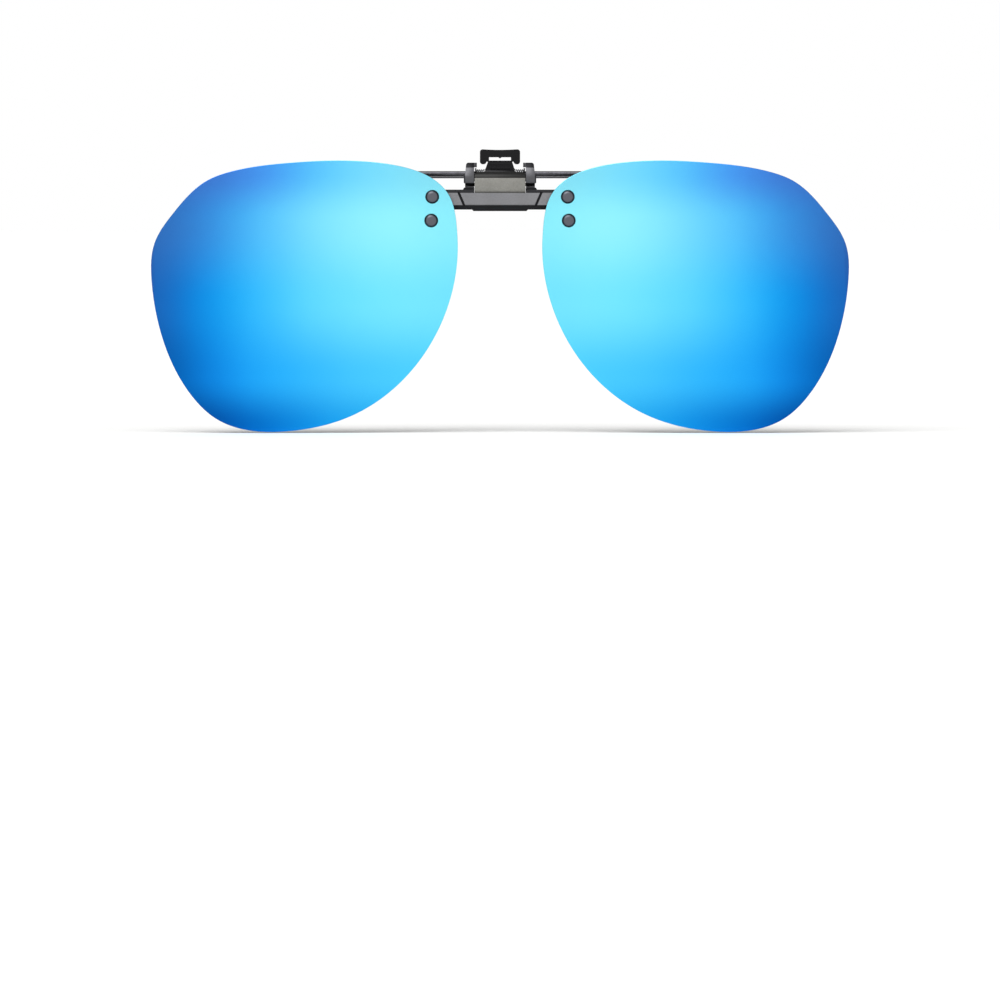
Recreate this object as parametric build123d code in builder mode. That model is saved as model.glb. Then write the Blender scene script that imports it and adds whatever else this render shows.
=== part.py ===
"""Clip-on flip lenses: two rimless mirrored lenses on a bar that flips up from a sprung clip.

Millimetres. +X is to the right as seen from in front, +Y runs rearward to the wearer, +Z is up.
The origin is the middle of the grip, midway between the front and the rear rubber pads.
"""

import os
from math import cos, radians, sin

from build123d import *

# ---- driving dimensions -------------------------------------------------------------------

# Lens: a flat polarised sheet, rimless.
LENS_THICK = 1.0
LENS_REAR_Y = -10.0
LENS_OUTLINE = [  # (X, Z) round the right lens, from the nose side downwards
    (8.5, 1.1), (10.5, -13.3), (20.9, -29.2), (28.7, -34.5), (40.9, -37.9), (57.2, -35.3),
    (61.5, -31.2), (68.3, -16.7), (69.7, -7.9), (69.1, -0.4), (65.5, 5.4), (58.4, 12.2),
    (54.2, 13.8), (41.5, 15.7), (26.6, 15.9), (9.9, 8.6), (8.9, 5.1),
]

# Lens fastening: two domed rivets through each lens and the end of the bar.
RIVET_UPPER = (13.55, 8.86)
RIVET_LOWER = (13.75, 4.12)
RIVET_HEAD_R = 1.4
RIVET_HEAD_HIGH = 0.95
RIVET_HEAD_EDGE = 0.1  # straight rim below the dome
RIVET_SHANK_R = 0.6
WASHER_THICK = 0.2
WASHER_R = 1.7
RIVET_CAP_R = 1.2
RIVET_CAP_HIGH = 0.8
RIVET_CAP_CLEAR = 0.15

# Bridge bar.
BAR_FRONT_Y = LENS_REAR_Y + WASHER_THICK
BAR_DEEP = 2.0
BAR_BOTTOM_Z = 6.3
BAR_TOP_Z = 10.3
BAR_TOP_CHAMFER = 0.5
BAR_BOTTOM_CHAMFER = 0.7
SHOULDER_HALF = 7.7
SHOULDER_TOP_Z = 10.7
SHOULDER_SLOPE = 0.5
LIP_HALF = 5.6
LIP_DROP = 0.3
FACET_BOTTOM_Z = 7.3
FACET_TOP_Z = 9.65
FACET_TOP_HALF = 8.0
FACET_BOTTOM_HALF = 6.95
FACET_RAISE = 0.3
GROOVE_WIDE = 0.45
GROOVE_DEEP = 0.35
BAR_BEAM_HALF = 12.1
PADDLE_THICK = 1.0
PADDLE_R = 2.1

# Flip hinge.
HINGE_Y = -7.8
HINGE_Z = 12.4
PIN_R = 0.5
RUNNING_GAP = 0.05
COVER_R = 1.55
COVER_SHEET = 0.3
COVER_HALF = 5.1
COVER_CORNER_R = 0.9
COVER_WRAP = 75  # degrees that the cover bends over the hinge
CAM_FLAT = 1.1  # from the hinge axis to each flat of the cam
CAM_CORNER_R = 0.9
LUG_GAP = 0.1
LUG_THICK = 1.8
PIN_HEAD_R = 0.85
PIN_HEAD_HIGH = 0.25
PIN_HEAD_ROUND = 0.15

# Clip frame.
LUG_TOP_Z = 15.7
LUG_TOP_HALF = 6.75
LUG_WAIST_Z = 13.3  # the lugs narrow from here upwards
LUG_REAR_Y = -2.4
LUG_CORNER_R = 0.5
CAP_INNER_X = 4.65
CAP_DEEP = 2.6
CAP_THICK = 0.9
CAP_CORNER_R = 0.35
CAP_OVERLAP = 0.5  # how far a cap runs into its lug
FOOT_BOTTOM_Z = 9.9
FOOT_FRONT_Y = -7.65
FOOT_REAR_Y = -6.3
WEB_FRONT_Y = -6.2
WEB_TOP_Z = 11.7
WEB_THICK = 0.7
WEB_OVERLAP = 0.1
LEAF_SHEET = 0.2
LEAF_CLEAR = 0.02  # between the leaf and the flat of the cam
LEAF_RISE = 0.15  # of the leaf's tip above the hinge axis
LEAF_HALF = 1.8
LEAF_RIVET_R = 0.35
LEAF_RIVET_HEAD_R = 0.6
LEAF_RIVET_HEAD_HIGH = 0.2

# Spring clip.
WIRE_Y = -4.0
WIRE_Z = 13.45
FRONT_WIRE_R = 0.575
REAR_WIRE_R = 0.5
REAR_WIRE_Y = 2.2
WIRE_BEND_R = 1.4
FRONT_WIRE_HALF = 19.2  # corner where the front wire turns down behind the lens
REAR_WIRE_HALF = 15.6
LEVER_SHEET = 0.7
LEVER_HALF = 3.0
NECK_TOP_HALF = 2.35
NECK_TOP_Z = 16.15
NECK_FRONT_Y = -4.65
RIB_PLACES_Z = (14.65, 15.45)
RIB_WIDE = 4.2
RIB_HIGH = 0.3
RIB_RAISE = 0.12
LEVER_KNUCKLE_R = 1.1
ARM_TOP_Z = 14.3
ARM_CORNER_R = 0.8
ARM_PAST_WIRE = 1.0  # how far the arm and its clamp run on behind the rear wire
NECK_FLARE_Z = 14.2
TAB_TOP_Z = 18.4
TAB_BOTTOM_Z = 16.8
TAB_LEG_Z = 15.4
TAB_HALF = 4.03
TAB_LEG_WIDE = 1.3
TAB_CORNER_R = 0.55
TAB_SAG = 0.12  # hollow along the top edge for the thumb
CUSP_HALF = 0.45
CUSP_DROP = 0.25
LINK_X = 2.5
LINK_WIDE = 0.6
CLAMP_WIDE = 5.4
CLAMP_DEEP = 3.2
CLAMP_BELOW_WIRE = 0.5
CLAMP_CORNER_R = 0.6
CLAMP_RIVET_R = 0.4
CLAMP_RIVET_X = 1.7
CLAMP_RIVET_AHEAD = 1.5  # of the rear wire
CLAMP_RIVET_HEAD_R = 0.75
CLAMP_RIVET_HEAD_HIGH = 0.3

# Jaw springs.
SPRING_WIRE_R = 0.16
SPRING_CLEAR = 0.08
COIL_PITCH = 0.4
COIL_TURNS = 3.75
SPRING_LEG = 1.2

# Grip pads.
PAD_X = 16.4
PAD_WIDE = 3.4
PAD_DEEP = 2.2
PAD_LONG = 9.0
PAD_GAP = 0.3
PAD_CORNER_R = 1.0
PAD_FOOT_R = 0.9
PAD_COLLAR_R = 0.3

os.makedirs("parts", exist_ok=True)


def finish(piece, name):
    """Label a finished piece and write its STEP file."""
    piece.part.label = name
    export_step(piece.part, f"parts/{name}.step")


def front_plane(y):
    """Sketch plane across the object at depth y: local X is X, local Y is Z."""
    return Plane.XZ.offset(-y)


def rivet_places(sides=(-1, 1)):
    """(X, Z) of the rivets of the lenses on the given sides."""
    return [(side * x, z) for side in sides for x, z in (RIVET_UPPER, RIVET_LOWER)]


# ---- lenses and their fasteners --------------------------------------------------------------

with BuildPart() as lens_right:
    with BuildSketch(front_plane(LENS_REAR_Y)):
        with BuildLine():
            Spline(*LENS_OUTLINE, periodic=True)
        make_face()
        with Locations(*rivet_places([1])):
            Circle(RIVET_SHANK_R, mode=Mode.SUBTRACT)
    extrude(amount=LENS_THICK)
finish(lens_right, "lens_right")

with BuildPart() as lens_left:
    mirror(lens_right.part, about=Plane.YZ)
finish(lens_left, "lens_left")

lens_front_y = LENS_REAR_Y - LENS_THICK
paddle_rear_y = BAR_FRONT_Y + PADDLE_THICK

with BuildPart() as lens_rivets:
    with BuildSketch(front_plane(lens_front_y)):
        with Locations(*rivet_places()):
            Circle(RIVET_HEAD_R)
    extrude(amount=RIVET_HEAD_HIGH)
    fillet(lens_rivets.edges().group_by(Axis.Y)[0], RIVET_HEAD_HIGH - RIVET_HEAD_EDGE)
    with BuildSketch(front_plane(lens_front_y)):
        with Locations(*rivet_places()):
            Circle(RIVET_SHANK_R)
    extrude(amount=lens_front_y - paddle_rear_y)
finish(lens_rivets, "lens_rivets")

with BuildPart() as rivet_caps:
    with BuildSketch(front_plane(paddle_rear_y)):
        with Locations(*rivet_places()):
            Circle(RIVET_CAP_R)
    extrude(amount=-RIVET_CAP_HIGH)
    fillet(rivet_caps.edges().group_by(Axis.Y)[-1], RIVET_CAP_HIGH / 2)
finish(rivet_caps, "rivet_caps")

with BuildPart() as lens_washers:
    with BuildSketch(front_plane(BAR_FRONT_Y)):
        with Locations(*rivet_places()):
            Circle(WASHER_R)
            Circle(RIVET_SHANK_R, mode=Mode.SUBTRACT)
    extrude(amount=WASHER_THICK)
finish(lens_washers, "lens_washers")

# ---- bridge bar --------------------------------------------------------------------------------

bar_rear_y = BAR_FRONT_Y + BAR_DEEP
ledge_half = COVER_HALF + LUG_GAP / 2

with BuildPart() as bridge_bar:
    with BuildSketch(Plane.YZ):
        with BuildLine():
            Polyline(
                (BAR_FRONT_Y, FACET_BOTTOM_Z - 0.1), (BAR_FRONT_Y, FACET_TOP_Z),
                (BAR_FRONT_Y + BAR_TOP_CHAMFER, BAR_TOP_Z), (bar_rear_y, BAR_TOP_Z),
                (bar_rear_y, BAR_BOTTOM_Z), (BAR_FRONT_Y + BAR_BOTTOM_CHAMFER, BAR_BOTTOM_Z), close=True,
            )
        make_face()
    extrude(amount=BAR_BEAM_HALF, both=True)
    # shoulders beside the hinge, and the stop lip under the middle
    with BuildSketch(front_plane(bar_rear_y)):
        for side in (-1, 1):
            with BuildLine():
                Polyline(
                    (side * ledge_half, BAR_TOP_Z - SHOULDER_SLOPE), (side * ledge_half, SHOULDER_TOP_Z),
                    (side * (SHOULDER_HALF - SHOULDER_SLOPE), SHOULDER_TOP_Z),
                    (side * SHOULDER_HALF, BAR_TOP_Z - SHOULDER_SLOPE), close=True,
                )
            make_face()
        with BuildLine():
            Polyline(
                (-LIP_HALF, BAR_BOTTOM_Z), (LIP_DROP - LIP_HALF, BAR_BOTTOM_Z - LIP_DROP),
                (LIP_HALF - LIP_DROP, BAR_BOTTOM_Z - LIP_DROP), (LIP_HALF, BAR_BOTTOM_Z), close=True,
            )
        make_face()
    extrude(amount=BAR_DEEP - BAR_BOTTOM_CHAMFER)
    # paddles that the lenses are riveted to
    with BuildSketch(front_plane(BAR_FRONT_Y)):
        for side in (-1, 1):
            with BuildLine():
                Line((side * RIVET_UPPER[0], RIVET_UPPER[1]), (side * RIVET_LOWER[0], RIVET_LOWER[1]))
            trace(line_width=2 * PADDLE_R)
        with Locations(*rivet_places()):
            Circle(PADDLE_R)
    extrude(amount=-PADDLE_THICK)
    with BuildSketch(front_plane(BAR_FRONT_Y)):
        with Locations(*rivet_places()):
            Circle(RIVET_SHANK_R)
    extrude(amount=-BAR_DEEP, mode=Mode.SUBTRACT)
    # seats for the rivet caps
    with BuildSketch(front_plane(paddle_rear_y)):
        with Locations(*rivet_places()):
            Circle(RIVET_CAP_R + RIVET_CAP_CLEAR)
    extrude(amount=-BAR_DEEP, mode=Mode.SUBTRACT)
    # ledge that the cover and the cam stand on
    with BuildSketch(Plane.XY.offset(FACET_TOP_Z)):
        with Locations((0, BAR_FRONT_Y + BAR_DEEP / 2)):
            Rectangle(2 * ledge_half, BAR_DEEP + 2)
    extrude(amount=2, mode=Mode.SUBTRACT)
    # raised trapezoid, with a slanted groove at each end
    with BuildSketch(front_plane(BAR_FRONT_Y)):
        for side in (-1, 1):
            with BuildLine():
                Line((side * (FACET_TOP_HALF + 0.35), FACET_TOP_Z + 0.2),
                     (side * (FACET_BOTTOM_HALF + 0.05), FACET_BOTTOM_Z - 0.6))
            trace(line_width=GROOVE_WIDE)
    extrude(amount=-GROOVE_DEEP, mode=Mode.SUBTRACT)
    with BuildSketch(front_plane(BAR_FRONT_Y)):
        with BuildLine():
            Polyline(
                (-FACET_TOP_HALF, FACET_TOP_Z), (FACET_TOP_HALF, FACET_TOP_Z),
                (FACET_BOTTOM_HALF, FACET_BOTTOM_Z), (-FACET_BOTTOM_HALF, FACET_BOTTOM_Z),
                close=True,
            )
        make_face()
    extrude(amount=FACET_RAISE)
finish(bridge_bar, "bridge_bar")

# ---- hinge: cover, cam, pin ----------------------------------------------------------------------

wrap_end = 180 - COVER_WRAP
cover_inner_r = COVER_R - COVER_SHEET


def hinge_point(radius, angle):
    """(Y, Z) at an angle round the hinge axis, 0 to the rear and 90 upwards."""
    return (HINGE_Y + radius * cos(radians(angle)), HINGE_Z + radius * sin(radians(angle)))


with BuildPart() as hinge_cover:
    with BuildSketch(Plane.YZ):
        with BuildLine():
            Polyline(hinge_point(COVER_R, 180), (HINGE_Y - COVER_R, FACET_TOP_Z),
                     (HINGE_Y - cover_inner_r, FACET_TOP_Z), hinge_point(cover_inner_r, 180))
            CenterArc((HINGE_Y, HINGE_Z), cover_inner_r, 180, -COVER_WRAP)
            Line(hinge_point(cover_inner_r, wrap_end), hinge_point(COVER_R, wrap_end))
            CenterArc((HINGE_Y, HINGE_Z), COVER_R, wrap_end, COVER_WRAP)
        make_face()
    extrude(amount=COVER_HALF, both=True)
    # its upper corners are rounded off
    with BuildSketch(front_plane(HINGE_Y + COVER_R)):
        with Locations((0, (FACET_TOP_Z + HINGE_Z + COVER_R) / 2)):
            Rectangle(2 * COVER_HALF, HINGE_Z + COVER_R - FACET_TOP_Z)
        fillet(vertices().group_by(Axis.Y)[-1], COVER_CORNER_R)
    extrude(amount=2 * COVER_R, mode=Mode.INTERSECT)
finish(hinge_cover, "hinge_cover")

with BuildPart() as cam_knuckle:
    with BuildSketch(Plane.YZ):
        with Locations((HINGE_Y, (FACET_TOP_Z + HINGE_Z + CAM_FLAT) / 2)):
            Rectangle(2 * CAM_FLAT, HINGE_Z + CAM_FLAT - FACET_TOP_Z)
        fillet(vertices().group_by(Axis.Y)[-1], CAM_CORNER_R)
        with Locations((HINGE_Y, HINGE_Z)):
            Circle(PIN_R + RUNNING_GAP, mode=Mode.SUBTRACT)
    extrude(amount=COVER_HALF - RUNNING_GAP, both=True)
finish(cam_knuckle, "cam_knuckle")

lug_inner_x = COVER_HALF + LUG_GAP
lug_outer_x = lug_inner_x + LUG_THICK

with BuildPart() as hinge_pin:
    with BuildSketch(Plane.YZ):
        with Locations((HINGE_Y, HINGE_Z)):
            Circle(PIN_R)
    extrude(amount=lug_outer_x, both=True)
    for side in (-1, 1):
        with BuildSketch(Plane.YZ.offset(side * lug_outer_x)):
            with Locations((HINGE_Y, HINGE_Z)):
                Circle(PIN_HEAD_R)
        extrude(amount=side * PIN_HEAD_HIGH)
    fillet(hinge_pin.edges().filter_by(GeomType.CIRCLE).group_by(Axis.X)[0], PIN_HEAD_ROUND)
    fillet(hinge_pin.edges().filter_by(GeomType.CIRCLE).group_by(Axis.X)[-1], PIN_HEAD_ROUND)
finish(hinge_pin, "hinge_pin")

# ---- clip frame: two lugs, their inward caps and the web between them ------------------------------

web_bottom_z = WEB_TOP_Z - WEB_THICK

# side view of a lug: a tall front face over the pin, a foot behind the bar, a square cap over the wire
with BuildSketch() as lug_outline:
    with BuildLine():
        Polyline(
            (HINGE_Y - 0.85, HINGE_Z - 1.25), (HINGE_Y - 1.3, HINGE_Z - 0.75),
            (HINGE_Y - 1.45, HINGE_Z + 0.4), (HINGE_Y - 0.8, HINGE_Z + 2.3),
            (HINGE_Y - 0.1, LUG_TOP_Z), (LUG_REAR_Y - 1, LUG_TOP_Z),
            (LUG_REAR_Y, LUG_TOP_Z - 1), (LUG_REAR_Y, web_bottom_z), (FOOT_REAR_Y, web_bottom_z),
            (FOOT_REAR_Y, FOOT_BOTTOM_Z), (FOOT_FRONT_Y, FOOT_BOTTOM_Z), (FOOT_FRONT_Y, HINGE_Z - 1.4),
            close=True,
        )
    make_face()

with BuildPart() as clip_frame:
    for side in (-1, 1):
        with BuildSketch(Plane.YZ.offset(side * lug_inner_x)):
            add(lug_outline.sketch)
        extrude(amount=side * LUG_THICK)
        with BuildSketch(Plane.XY.offset(LUG_TOP_Z)):
            with Locations((side * (CAP_INNER_X + lug_inner_x + CAP_OVERLAP) / 2, LUG_REAR_Y - CAP_DEEP)):
                RectangleRounded(lug_inner_x + CAP_OVERLAP - CAP_INNER_X, CAP_DEEP, CAP_CORNER_R)
        extrude(amount=-CAP_THICK)
    with BuildSketch(Plane.XY.offset(WEB_TOP_Z)):
        with Locations((0, (WEB_FRONT_Y + LUG_REAR_Y) / 2)):
            Rectangle(2 * (lug_inner_x + WEB_OVERLAP), LUG_REAR_Y - WEB_FRONT_Y)
    extrude(amount=-WEB_THICK)
    # seen from the front the lugs narrow towards rounded tops
    with BuildSketch(front_plane(LUG_REAR_Y)):
        with BuildLine():
            Polyline(
                (-lug_outer_x, FOOT_BOTTOM_Z), (-lug_outer_x, LUG_WAIST_Z), (-LUG_TOP_HALF, LUG_TOP_Z),
                (LUG_TOP_HALF, LUG_TOP_Z), (lug_outer_x, LUG_WAIST_Z), (lug_outer_x, FOOT_BOTTOM_Z),
                close=True,
            )
        make_face()
        fillet(vertices().group_by(Axis.Y)[-1], LUG_CORNER_R)
    extrude(amount=LUG_REAR_Y - HINGE_Y + 2, mode=Mode.INTERSECT)
    with BuildSketch(Plane.YZ):
        with Locations((HINGE_Y, HINGE_Z)):
            Circle(PIN_R)
        with Locations((WIRE_Y, WIRE_Z)):
            Circle(FRONT_WIRE_R)
    extrude(amount=lug_outer_x, both=True, mode=Mode.SUBTRACT)
    # holes for the leaf rivets
    leaf_rivet_places = [(side * LEAF_HALF / 2, LUG_REAR_Y - 2) for side in (-1, 1)]
    with BuildSketch(Plane.XY.offset(WEB_TOP_Z)):
        with Locations(*leaf_rivet_places):
            Circle(LEAF_RIVET_R)
    extrude(amount=-WEB_THICK, mode=Mode.SUBTRACT)
finish(clip_frame, "clip_frame")

# ---- detent leaf and its rivets ---------------------------------------------------------------------

leaf_front_y = HINGE_Y + CAM_FLAT + LEAF_CLEAR
leaf_rear_y = LUG_REAR_Y - 0.8
leaf_tip_z = HINGE_Z + LEAF_RISE

with BuildPart() as detent_leaf:
    with BuildSketch(Plane.YZ):
        with BuildLine():
            Polyline(
                (leaf_front_y, leaf_tip_z), (leaf_front_y, WEB_TOP_Z), (leaf_rear_y, WEB_TOP_Z),
                (leaf_rear_y, WEB_TOP_Z + LEAF_SHEET), (leaf_front_y + LEAF_SHEET, WEB_TOP_Z + LEAF_SHEET),
                (leaf_front_y + LEAF_SHEET, leaf_tip_z), close=True,
            )
        make_face()
    extrude(amount=LEAF_HALF, both=True)
    with BuildSketch(Plane.XY.offset(WEB_TOP_Z)):
        with Locations(*leaf_rivet_places):
            Circle(LEAF_RIVET_R)
    extrude(amount=LEAF_SHEET, mode=Mode.SUBTRACT)
finish(detent_leaf, "detent_leaf")

with BuildPart() as leaf_rivets:
    with BuildSketch(Plane.XY.offset(web_bottom_z)):
        with Locations(*leaf_rivet_places):
            Circle(LEAF_RIVET_R)
    extrude(amount=WEB_THICK + LEAF_SHEET)
    for z, high in ((WEB_TOP_Z + LEAF_SHEET, LEAF_RIVET_HEAD_HIGH), (web_bottom_z, -LEAF_RIVET_HEAD_HIGH)):
        with BuildSketch(Plane.XY.offset(z)):
            with Locations(*leaf_rivet_places):
                Circle(LEAF_RIVET_HEAD_R)
        extrude(amount=high)
finish(leaf_rivets, "leaf_rivets")

# ---- jaw wires ---------------------------------------------------------------------------------------

front_pad_y = -(PAD_GAP + PAD_DEEP) / 2
rear_pad_y = -front_pad_y
leg_end_z = PAD_FOOT_R - PAD_LONG / 2


def bent_wire(radius, points):
    """Round wire along a path of (x, y, z) corners, mirrored to the other side of the object."""
    mirrored = [(-x, y, z) for x, y, z in reversed(points)]
    with BuildPart() as wire:
        with BuildLine() as path:
            FilletPolyline(*mirrored, *points, radius=WIRE_BEND_R)
        with BuildSketch(Plane(path.line @ 0, z_dir=path.line % 0)):
            Circle(radius)
        sweep(path=path.line)
    return wire


front_jaw_wire = bent_wire(
    FRONT_WIRE_R,
    [(FRONT_WIRE_HALF, WIRE_Y, WIRE_Z), (PAD_X + 0.7, WIRE_Y + 0.7, 9.8), (PAD_X, WIRE_Y + 0.9, 8.0),
     (PAD_X, front_pad_y, 5.7), (PAD_X, front_pad_y, leg_end_z)],
)
finish(front_jaw_wire, "front_jaw_wire")

rear_wire_z = ARM_TOP_Z - LEVER_SHEET - REAR_WIRE_R
rear_jaw_wire = bent_wire(
    REAR_WIRE_R,
    [(REAR_WIRE_HALF, REAR_WIRE_Y, rear_wire_z), (PAD_X, REAR_WIRE_Y + 1.2, 10.2),
     (PAD_X, REAR_WIRE_Y + 1.0, 8.4), (PAD_X, rear_pad_y, 5.8), (PAD_X, rear_pad_y, leg_end_z)],
)
finish(rear_jaw_wire, "rear_jaw_wire")

# ---- rubber pads ---------------------------------------------------------------------------------------


def grip_pad(side, y, wire_r):
    """Moulded rubber sleeve with a rounded foot, pushed on the end of a wire."""
    with BuildPart() as pad:
        with BuildSketch(Plane.XY.offset(-PAD_LONG / 2)):
            with Locations((side * PAD_X, y)):
                RectangleRounded(PAD_WIDE, PAD_DEEP, PAD_CORNER_R)
        extrude(amount=PAD_LONG)
        fillet(pad.edges().group_by(Axis.Z)[0], PAD_FOOT_R)
        fillet(pad.edges().group_by(Axis.Z)[-1], PAD_COLLAR_R)
        with BuildSketch(Plane.XY.offset(PAD_LONG / 2)):
            with Locations((side * PAD_X, y)):
                Circle(wire_r)
        extrude(amount=leg_end_z - PAD_LONG / 2, mode=Mode.SUBTRACT)
    return pad


for side, side_name in ((-1, "left"), (1, "right")):
    finish(grip_pad(side, front_pad_y, FRONT_WIRE_R), f"front_pad_{side_name}")
    finish(grip_pad(side, rear_pad_y, REAR_WIRE_R), f"rear_pad_{side_name}")

# ---- thumb lever ----------------------------------------------------------------------------------------

arm_rear_y = REAR_WIRE_Y + ARM_PAST_WIRE
clamp_rivet_places = [(side * CLAMP_RIVET_X, REAR_WIRE_Y - CLAMP_RIVET_AHEAD) for side in (-1, 1)]

with BuildPart() as thumb_lever:
    # neck and thumb tab, one flat stamping with a slot between them
    with BuildSketch(front_plane(NECK_FRONT_Y)):
        with BuildLine():
            Polyline((-LEVER_HALF, WIRE_Z), (LEVER_HALF, WIRE_Z), (LEVER_HALF, NECK_FLARE_Z),
                     (NECK_TOP_HALF, NECK_TOP_Z), (-NECK_TOP_HALF, NECK_TOP_Z),
                     (-LEVER_HALF, NECK_FLARE_Z), close=True)
        make_face()
        with Locations((0, (TAB_BOTTOM_Z + TAB_TOP_Z) / 2)):
            RectangleRounded(2 * TAB_HALF, TAB_TOP_Z - TAB_BOTTOM_Z, TAB_CORNER_R)
        for side in (-1, 1):
            with Locations((side * (TAB_HALF - TAB_LEG_WIDE / 2), (TAB_LEG_Z + TAB_TOP_Z) / 2)):
                RectangleRounded(TAB_LEG_WIDE, TAB_TOP_Z - TAB_LEG_Z, TAB_CORNER_R)
            with Locations((side * LINK_X, (NECK_TOP_Z + TAB_BOTTOM_Z) / 2)):
                Rectangle(LINK_WIDE, TAB_BOTTOM_Z - NECK_TOP_Z + 0.5)
        with BuildLine():
            Polyline((-CUSP_HALF, TAB_BOTTOM_Z + 0.1), (CUSP_HALF, TAB_BOTTOM_Z + 0.1),
                     (0, TAB_BOTTOM_Z - CUSP_DROP), close=True)
        make_face()
        with BuildLine():
            ThreePointArc((-TAB_HALF + TAB_CORNER_R, TAB_TOP_Z), (0, TAB_TOP_Z - TAB_SAG),
                          (TAB_HALF - TAB_CORNER_R, TAB_TOP_Z))
            Line((TAB_HALF - TAB_CORNER_R, TAB_TOP_Z), (-TAB_HALF + TAB_CORNER_R, TAB_TOP_Z))
        make_face(mode=Mode.SUBTRACT)
    extrude(amount=-LEVER_SHEET)
    # ribs pressed across the neck
    with BuildSketch(front_plane(NECK_FRONT_Y)):
        for z in RIB_PLACES_Z:
            with Locations((0, z)):
                RectangleRounded(RIB_WIDE, RIB_HIGH, RIB_HIGH / 2 - 0.02)
    extrude(amount=RIB_RAISE)
    # knuckle round the wire
    with BuildSketch(Plane.YZ):
        with Locations((WIRE_Y, WIRE_Z)):
            Circle(LEVER_KNUCKLE_R)
    extrude(amount=LEVER_HALF, both=True)
    # arm back over the rim of the spectacles
    with BuildSketch(Plane.XY.offset(ARM_TOP_Z)):
        with Locations((0, (WIRE_Y + arm_rear_y) / 2)):
            Rectangle(2 * LEVER_HALF, arm_rear_y - WIRE_Y)
        fillet(vertices().group_by(Axis.Y)[-1], ARM_CORNER_R)
    extrude(amount=-LEVER_SHEET)
    with BuildSketch(Plane.YZ):
        with Locations((WIRE_Y, WIRE_Z)):
            Circle(FRONT_WIRE_R + RUNNING_GAP)
    extrude(amount=LEVER_HALF + 1, both=True, mode=Mode.SUBTRACT)
    with BuildSketch(Plane.XY.offset(ARM_TOP_Z)):
        with Locations(*clamp_rivet_places):
            Circle(CLAMP_RIVET_R)
    extrude(amount=-LEVER_SHEET, mode=Mode.SUBTRACT)
finish(thumb_lever, "thumb_lever")

# ---- clamp that holds the rear wire under the lever ---------------------------------------------------

clamp_bottom_z = rear_wire_z - REAR_WIRE_R - CLAMP_BELOW_WIRE
clamp_top_z = ARM_TOP_Z - LEVER_SHEET
with BuildPart() as wire_clamp:
    with BuildSketch(Plane.XY.offset(clamp_top_z)):
        with Locations((0, arm_rear_y - CLAMP_DEEP / 2)):
            RectangleRounded(CLAMP_WIDE, CLAMP_DEEP, CLAMP_CORNER_R)
    extrude(amount=clamp_bottom_z - clamp_top_z)
    with BuildSketch(Plane.YZ):
        with Locations((REAR_WIRE_Y, rear_wire_z)):
            Circle(REAR_WIRE_R)
        with Locations((REAR_WIRE_Y, rear_wire_z + REAR_WIRE_R)):
            Rectangle(2 * REAR_WIRE_R, 2 * REAR_WIRE_R)
    extrude(amount=CLAMP_WIDE, both=True, mode=Mode.SUBTRACT)
    with BuildSketch(Plane.XY.offset(clamp_top_z)):
        with Locations(*clamp_rivet_places):
            Circle(CLAMP_RIVET_R)
    extrude(amount=clamp_bottom_z - clamp_top_z, mode=Mode.SUBTRACT)
finish(wire_clamp, "wire_clamp")

with BuildPart() as clamp_rivets:
    with BuildSketch(Plane.XY.offset(clamp_bottom_z)):
        with Locations(*clamp_rivet_places):
            Circle(CLAMP_RIVET_R)
    extrude(amount=ARM_TOP_Z - clamp_bottom_z)
    for z, high in ((ARM_TOP_Z, CLAMP_RIVET_HEAD_HIGH), (clamp_bottom_z, -CLAMP_RIVET_HEAD_HIGH)):
        with BuildSketch(Plane.XY.offset(z)):
            with Locations(*clamp_rivet_places):
                Circle(CLAMP_RIVET_HEAD_R)
        extrude(amount=high)
finish(clamp_rivets, "clamp_rivets")

# ---- jaw springs: one torsion coil on the wire at each side of the lever --------------------------------

coil_r = FRONT_WIRE_R + SPRING_CLEAR + SPRING_WIRE_R
coil_inner_x = LEVER_HALF + 0.3

with BuildPart() as jaw_spring_right:
    coil = Helix(
        pitch=COIL_PITCH, height=COIL_PITCH * COIL_TURNS, radius=coil_r,
        center=(coil_inner_x, WIRE_Y, WIRE_Z), direction=(1, 0, 0), mode=Mode.PRIVATE,
    )
    with BuildSketch(Plane(coil @ 0, z_dir=coil % 0)):
        Circle(SPRING_WIRE_R)
    sweep(path=coil)
    for end in (0, 1):
        with BuildSketch(Plane(coil @ end, z_dir=coil % end)):
            Circle(SPRING_WIRE_R)
        extrude(amount=SPRING_LEG * (2 * end - 1))
finish(jaw_spring_right, "jaw_spring_right")

with BuildPart() as jaw_spring_left:
    mirror(jaw_spring_right.part, about=Plane.YZ)
finish(jaw_spring_left, "jaw_spring_left")
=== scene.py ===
# %% [markdown]
# # Clip-on flip lenses
# Two rimless mirror-coated lenses hang from a black bar, and the bar flips up on a small sprung clip.
# The object could be modelled again from nothing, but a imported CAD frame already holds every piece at
# its true size and place. So each piece below is built on the frame, in metres, and nothing has to be
# fitted by eye.

import math

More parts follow.
